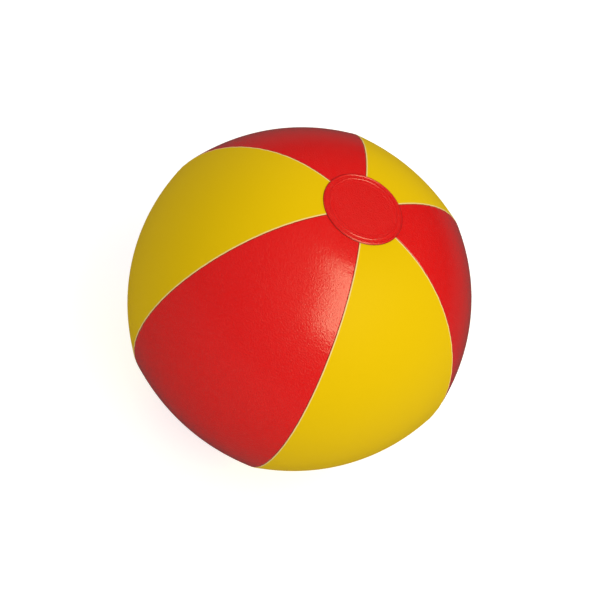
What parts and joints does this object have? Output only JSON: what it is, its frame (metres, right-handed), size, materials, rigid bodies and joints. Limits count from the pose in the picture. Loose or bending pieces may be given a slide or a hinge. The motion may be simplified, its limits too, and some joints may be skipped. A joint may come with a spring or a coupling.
{
  "type": "beach ball",
  "caption": "Inflated beach ball of welded film panels in alternating red and yellow, with round end discs and a push-in valve.",
  "frame": {"origin": "centre of the ball", "axes": "+Z through the middle of the upper end disc, +X through the first seam at the ball's widest"},
  "size_m": [0.28, 0.2723, 0.2536],
  "materials": {
    "red_film": "satin",
    "yellow_film": "satin",
    "disc_film": "gloss",
    "clear_vinyl": "gloss"
  },
  "bodies": {
    "ball": {"panel_red_1": "red_film", "panel_yellow_1": "yellow_film", "panel_red_2": "red_film", "panel_yellow_2": "yellow_film", "panel_red_3": "red_film", "panel_yellow_3": "yellow_film", "top_cap": "disc_film", "bottom_cap": "disc_film", "valve_flange": "clear_vinyl", "valve_skirt": "clear_vinyl"},
    "stem": {"valve_stem": "clear_vinyl", "valve_strap": "clear_vinyl"},
    "plug": {"valve_plug": "clear_vinyl"},
    "flap": {"valve_flap": "clear_vinyl"}
  },
  "joints": [
    {"name": "stem_slide", "type": "slide", "parent": "ball", "child": "stem", "axis": [-0.75, 0.433, -0.5], "range_m": [0, 0.013], "deforming": ["valve_skirt"]},
    {"name": "plug_hinge", "type": "hinge", "parent": "stem", "child": "plug", "pos_m": [-0.10766, 0.06216, -0.06081], "axis": [0.5, 0.866, 0], "range_deg": [0, 140]},
    {"name": "flap_hinge", "type": "hinge", "parent": "stem", "child": "flap", "pos_m": [-0.09701, 0.05601, -0.05902], "axis": [-0.5, -0.866, 0], "range_deg": [0, 60], "stiffness_Nm_per_rad": 0.00002, "springref_deg": -17.19}
  ]
}
